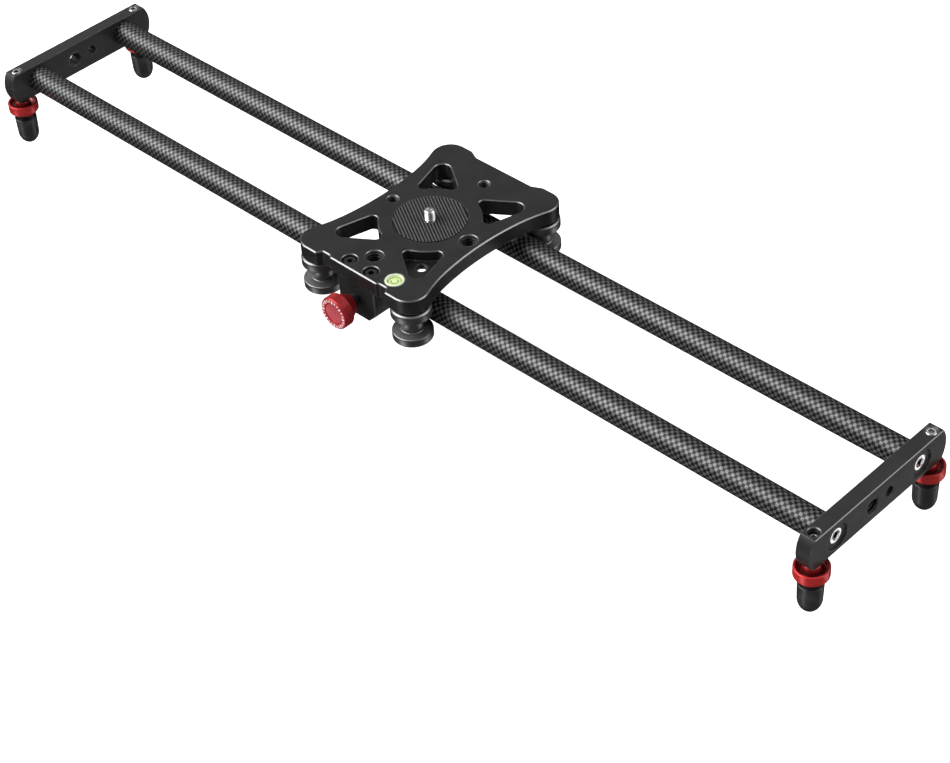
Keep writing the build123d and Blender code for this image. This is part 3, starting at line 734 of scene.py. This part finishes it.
for mount in frame["record"]["mounts"]:
    if mount["kind"] != "threaded_hole":
        continue
    radius = mount["dims"]["r_mm"]
    is_quarter = radius < 4
    pitch = QUARTER_PITCH if is_quarter else THREE_EIGHTHS_PITCH
    on_plate = mount["name"].startswith(("plate", "pocket"))
    thread_sleeve(
        f"{mount['name']}_thread",
        radius,
        pitch,
        (0.5 if is_quarter else 0.65) * pitch,
        Vector(mount["pos_m"]) / MM,
        Vector(mount["axis"]),
        mount["dims"]["length_mm"],
        "plate_black" if on_plate else "block_black",
        "carriage" if on_plate else "frame",
    )

# ---------------------------------------------------------------- bubble level

case = (level_high.x - level_low.x) / 2
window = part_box("level_lens")[1].x / MM - level_axis.x
dial_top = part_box("level_liquid")[1].z / MM
outline = [
    (window, level_low.z),
    (case, level_low.z),
    (case, level_high.z - 0.35),
    (case - 0.35, level_high.z),
    (window + 0.15, level_high.z),
    (window, level_high.z - 0.2),
]
ring = lathe("level_rim", soften(outline, 0.15, closed=True), level_axis, UP, closed=True)
dress(ring, "carriage", "level_white", "level_case")

dial_face = dial_top - 0.3
groove_floor = dial_face - 0.25
outline = [(0.0, level_low.z), (window, level_low.z), (window, dial_face)]
for groove in LEVEL_RINGS:
    outline += [(groove + RING_HALF_WIDTH, dial_face), (groove + 0.12, groove_floor)]
    outline += [(groove - 0.12, groove_floor), (groove - RING_HALF_WIDTH, dial_face)]
outline += [(0.0, dial_face)]
dial = lathe("level_dial", outline, level_axis, UP)
dress(dial, "carriage", "level_lime", "level_liquid")

BUBBLE_RADIUS = 1.5
bubble_at = centre_mm("level_bubble")
bubble_at.z = 0
arc = [math.radians(180 * k / 18 - 90) for k in range(19)]
outline = [(abs(BUBBLE_RADIUS * math.cos(a)), dial_top - 0.15 + 0.25 * math.sin(a)) for a in arc]
outline[0], outline[-1] = (0.0, outline[0][1]), (0.0, outline[-1][1])
bubble = lathe("level_air_bubble", outline, bubble_at, UP, 48)
dress(bubble, "carriage", "level_air", "level_bubble")

CROWN = 0.3
arc = [math.radians(90 * k / 10) for k in range(10)]
outline = [(0.0, dial_top + 0.12), (window - 0.03, dial_top + 0.12), (window - 0.03, level_high.z - CROWN)]
outline += [(window * 0.97 * math.cos(a), level_high.z - CROWN * (1 - math.sin(a))) for a in arc]
outline += [(0.0, level_high.z)]
lens = lathe("level_window", outline, level_axis, UP)
dress(lens, "carriage", "level_clear", "level_lens")

# ---------------------------------------------------------------- brake knob

knob_low, knob_high = box_mm("brake_knob")
knob_z = (knob_low.z + knob_high.z) / 2
wide = (knob_high.z - knob_low.z) / 2
brake_origin = Vector((0, 0, knob_z))
face, hub_end = knob_low.y, knob_high.y
back = face + 6.8
outline = [
    (0.0, face + 0.5),
    (wide - 3.7, face + 0.5),
    (wide - 3.5, face + 0.42),
    (wide - 3.1, face + 0.06),
    (wide - 2.9, face),
    (wide - 1.0, face),
    (wide - 0.55, face + 0.12),
    (wide - 0.25, face + 0.45),
    *rows(wide, face + 0.8, back - 0.7, 0.11, "knurl"),
    (wide - 0.3, back - 0.35),
    (wide - 0.8, back - 0.05),
    (wide - 1.3, back + 0.2),
    (5.7, hub_end - 0.7),
    (5.4, hub_end - 0.2),
    (5.1, hub_end),
    (0.0, hub_end),
]
shapes = {"knurl": knurl(58, 0.28, 1.0)}
knob = lathe("brake_knob_knurled", outline, brake_origin, ACROSS, 464, shapes=shapes, sharp_over=50)
dress(knob, "brake_knob", "knob_red", "brake_knob", look=brake_red)


def tick(angle, inner, outer, wide):
    """A short raised bar with rounded ends, on the knob's face."""
    points = []
    steps = 6
    for depth in (0.08, -0.06):
        for centre, turn in ((outer - wide / 2, 0), (inner + wide / 2, math.pi)):
            for k in range(steps + 1):
                a = turn - math.pi / 2 + math.pi * k / steps
                spot = Vector((centre + wide / 2 * math.cos(a), wide / 2 * math.sin(a)))
                x = spot.x * math.cos(angle) - spot.y * math.sin(angle)
                z = spot.x * math.sin(angle) + spot.y * math.cos(angle)
                points.append((x * MM, (face + depth) * MM, (knob_z + z) * MM))
    count = len(points) // 2
    faces = [tuple(range(count)), tuple(range(2 * count - 1, count - 1, -1))]
    for k in range(count):
        n = (k + 1) % count
        faces.append((k, n, count + n, count + k))
    mesh = bpy.data.meshes.new("tick")
    mesh.from_pydata(points, [], faces)
    finish_mesh(mesh)
    return bpy.data.objects.new("tick", mesh)


TICKS = 24
LONG_EVERY = 3
marks = []
for k in range(TICKS):
    reach, thickness = (2.9, 0.7) if k % LONG_EVERY == 0 else (2.4, 0.5)
    marks.append(tick(math.tau * k / TICKS, wide - reach, wide - 1.1, thickness))
dress(joined("brake_knob_marks", marks), "brake_knob", "knob_red", look=mark_white)

# ---------------------------------------------------------------- CAD nodes that keep their shape

slots = {part["node"]: part["material_slot"] for part in frame["record"]["subparts"]}
for name, node in frame["nodes"].items():
    if not node.hide_render:
        node.material_slots[0].material = looks[slots[name]]

# ---------------------------------------------------------------- floor, light and camera


def lobe(tree, direction, centre, inner, outer, strength):
    """A soft round light in the sky round a centre, fading between two angles in degrees."""
    dot = tree.nodes.new("ShaderNodeVectorMath")
    dot.operation = "DOT_PRODUCT"
    tree.links.new(direction, dot.inputs[0])
    dot.inputs[1].default_value = Vector(centre).normalized()
    fade = tree.nodes.new("ShaderNodeMapRange")
    fade.interpolation_type = "SMOOTHSTEP"
    tree.links.new(dot.outputs["Value"], fade.inputs[0])
    ends = (math.cos(math.radians(outer)), math.cos(math.radians(inner)), 0.0, strength)
    for socket, value in zip(fade.inputs[1:], ends):
        socket.default_value = value
    return fade.outputs[0]


# Each light: the direction it stands in, the angles where it starts and ends its fade, and its strength. The
# first is the room and the next two light the object. The rest are seen as reflections: one in the end
# screws, two in the studs' tops and two in upright faces.
LIGHTS = [
    ((0, 0, 1), 0, 100, 0.30),
    ((-0.55, -0.54, 0.64), 10, 36, 6.0),
    ((0.66, 0.50, 0.56), 8, 30, 2.6),
    ((0.394, 0.608, -0.689), 2.5, 5, 2.4),
    ((-0.40, 0.61, 0.685), 2.5, 6, 2.2),
    ((-0.717, 0.463, 0.52), 2.5, 6, 2.2),
    ((-0.22, -0.70, -0.65), 3, 14, 1.8),
    ((0.68, 0.46, -0.57), 4, 12, 1.3),
]
world = bpy.data.worlds.new("studio")
bpy.context.scene.world = world
world.use_nodes = True
tree = world.node_tree
direction = tree.nodes.new("ShaderNodeTexCoord").outputs["Generated"]
total = lobe(tree, direction, *LIGHTS[0])
for light in LIGHTS[1:]:
    adder = tree.nodes.new("ShaderNodeMath")
    adder.operation = "ADD"
    tree.links.new(total, adder.inputs[0])
    tree.links.new(lobe(tree, direction, *light), adder.inputs[1])
    total = adder.outputs[0]
seen = tree.nodes.new("ShaderNodeLightPath").outputs["Is Camera Ray"]
choice = tree.nodes.new("ShaderNodeMix")
tree.links.new(seen, choice.inputs[0])
tree.links.new(total, choice.inputs[2])
choice.inputs[3].default_value = 1.0
tree.links.new(choice.outputs[0], tree.nodes["Background"].inputs["Strength"])
tree.nodes["Background"].inputs["Color"].default_value = (1, 1, 1, 1)

floor_look = Look("floor_pale", (0.9, 0.9, 0.9), 0.9)
floor_clouds = floor_look.noise(3, 2)
floor_look.set("Base Color", floor_look.mix(floor_clouds, (0.9, 0.9, 0.9), (0.92, 0.92, 0.92)))
floor_look.set("Emission Color", (1, 1, 1))
to_camera = floor_look.add("LightPath").outputs["Is Camera Ray"]
floor_look.set("Emission Strength", floor_look.remap(to_camera, 0, 1, 0.12, 0.78))
floor_mesh = bpy.data.meshes.new("floor")
floor_z = cad_low.z - LEG_TRAVEL * MM - 0.00005
floor_reach = 9
floor_corners = [(x * floor_reach, y * floor_reach, floor_z) for x, y in ((-1, -1), (1, -1), (1, 1), (-1, 1))]
floor_mesh.from_pydata(floor_corners, [], [(0, 1, 2, 3)])
floor_mesh.materials.append(floor_look.material)
floor = bpy.data.objects.new("floor", floor_mesh)
bpy.context.scene.collection.objects.link(floor)
floor.visible_glossy = False

bpy.context.scene.view_settings.view_transform = "Standard"

camera_data = bpy.data.cameras.new("camera")
camera_data.sensor_width = 36.0
camera_data.lens = 87.391
camera = bpy.data.objects.new("camera", camera_data)
bpy.context.scene.collection.objects.link(camera)
camera_place = Vector((0.721796, -0.661467, 0.728186))
camera_right = Vector((0.718928, 0.693257, -0.05038))
camera_forward = Vector((-0.549035, 0.521924, -0.652807))
camera_up = camera_right.cross(camera_forward)
turn = Matrix((camera_right, camera_up, -camera_forward)).transposed().to_4x4()
camera.matrix_world = Matrix.Translation(camera_place) @ turn
bpy.context.scene.camera = camera
